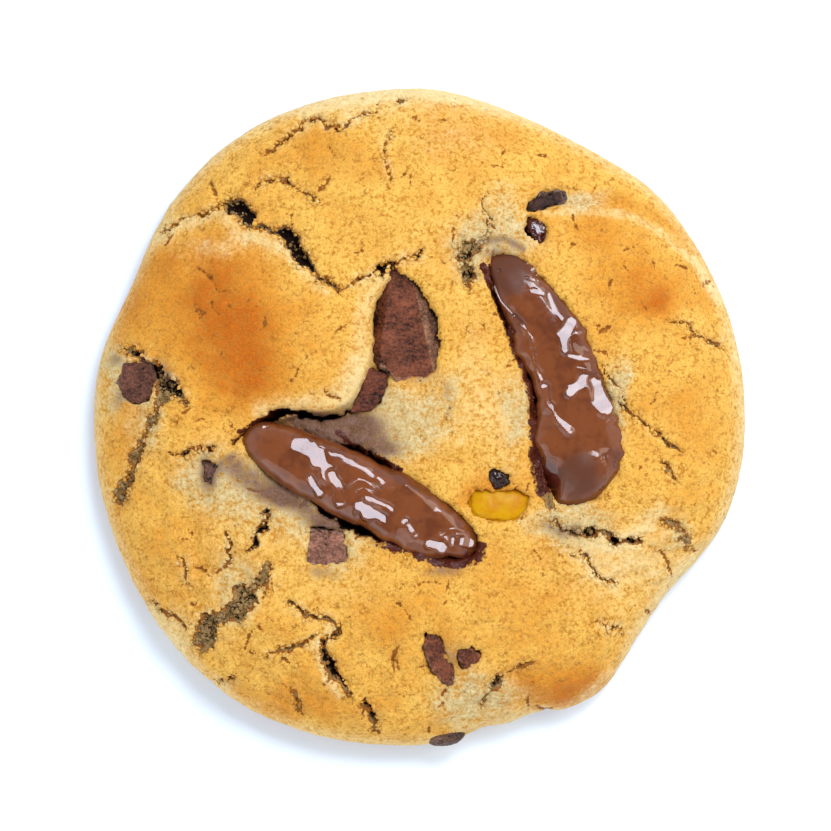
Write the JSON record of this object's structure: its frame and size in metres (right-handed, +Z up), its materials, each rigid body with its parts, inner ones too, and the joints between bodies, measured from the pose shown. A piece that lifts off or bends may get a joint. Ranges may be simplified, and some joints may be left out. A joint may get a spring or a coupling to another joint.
{
  "type": "chocolate chunk cookie",
  "caption": "Thick soft-baked round cookie with a cracked domed top, melted milk chocolate sticks and broken chocolate pieces.",
  "frame": {"origin": "under the middle of the cookie's box, on the surface that it rests on", "axes": "+Z up out of the domed top, +Y the far side as the cookie is seen from above, +X to the right"},
  "size_m": [0.0978, 0.0988, 0.0188],
  "materials": {
    "baked_dough": "matt golden baked dough, paler at the rim and along the splits, browner on the crowns",
    "melted_chocolate": "wet gloss of milk chocolate that melted and set again",
    "dull_chocolate": "dull broken milk chocolate with fine scratches and a little bloom",
    "baked_caramel": "smooth yellow-orange caramel, softly shining"
  },
  "bodies": {
    "root": {"dough": "baked_dough", "baton_left": "melted_chocolate", "baton_right": "melted_chocolate", "slab": "dull_chocolate", "slab_corner": "dull_chocolate", "chip_left": "dull_chocolate", "chip_low": "dull_chocolate", "chip_bottom_a": "dull_chocolate", "chip_bottom_b": "dull_chocolate", "chip_top": "dull_chocolate", "chip_top_glossy": "melted_chocolate", "chip_hidden": "dull_chocolate", "chip_edge": "dull_chocolate", "droplet": "melted_chocolate", "caramel": "baked_caramel"}
  },
  "joints": []
}
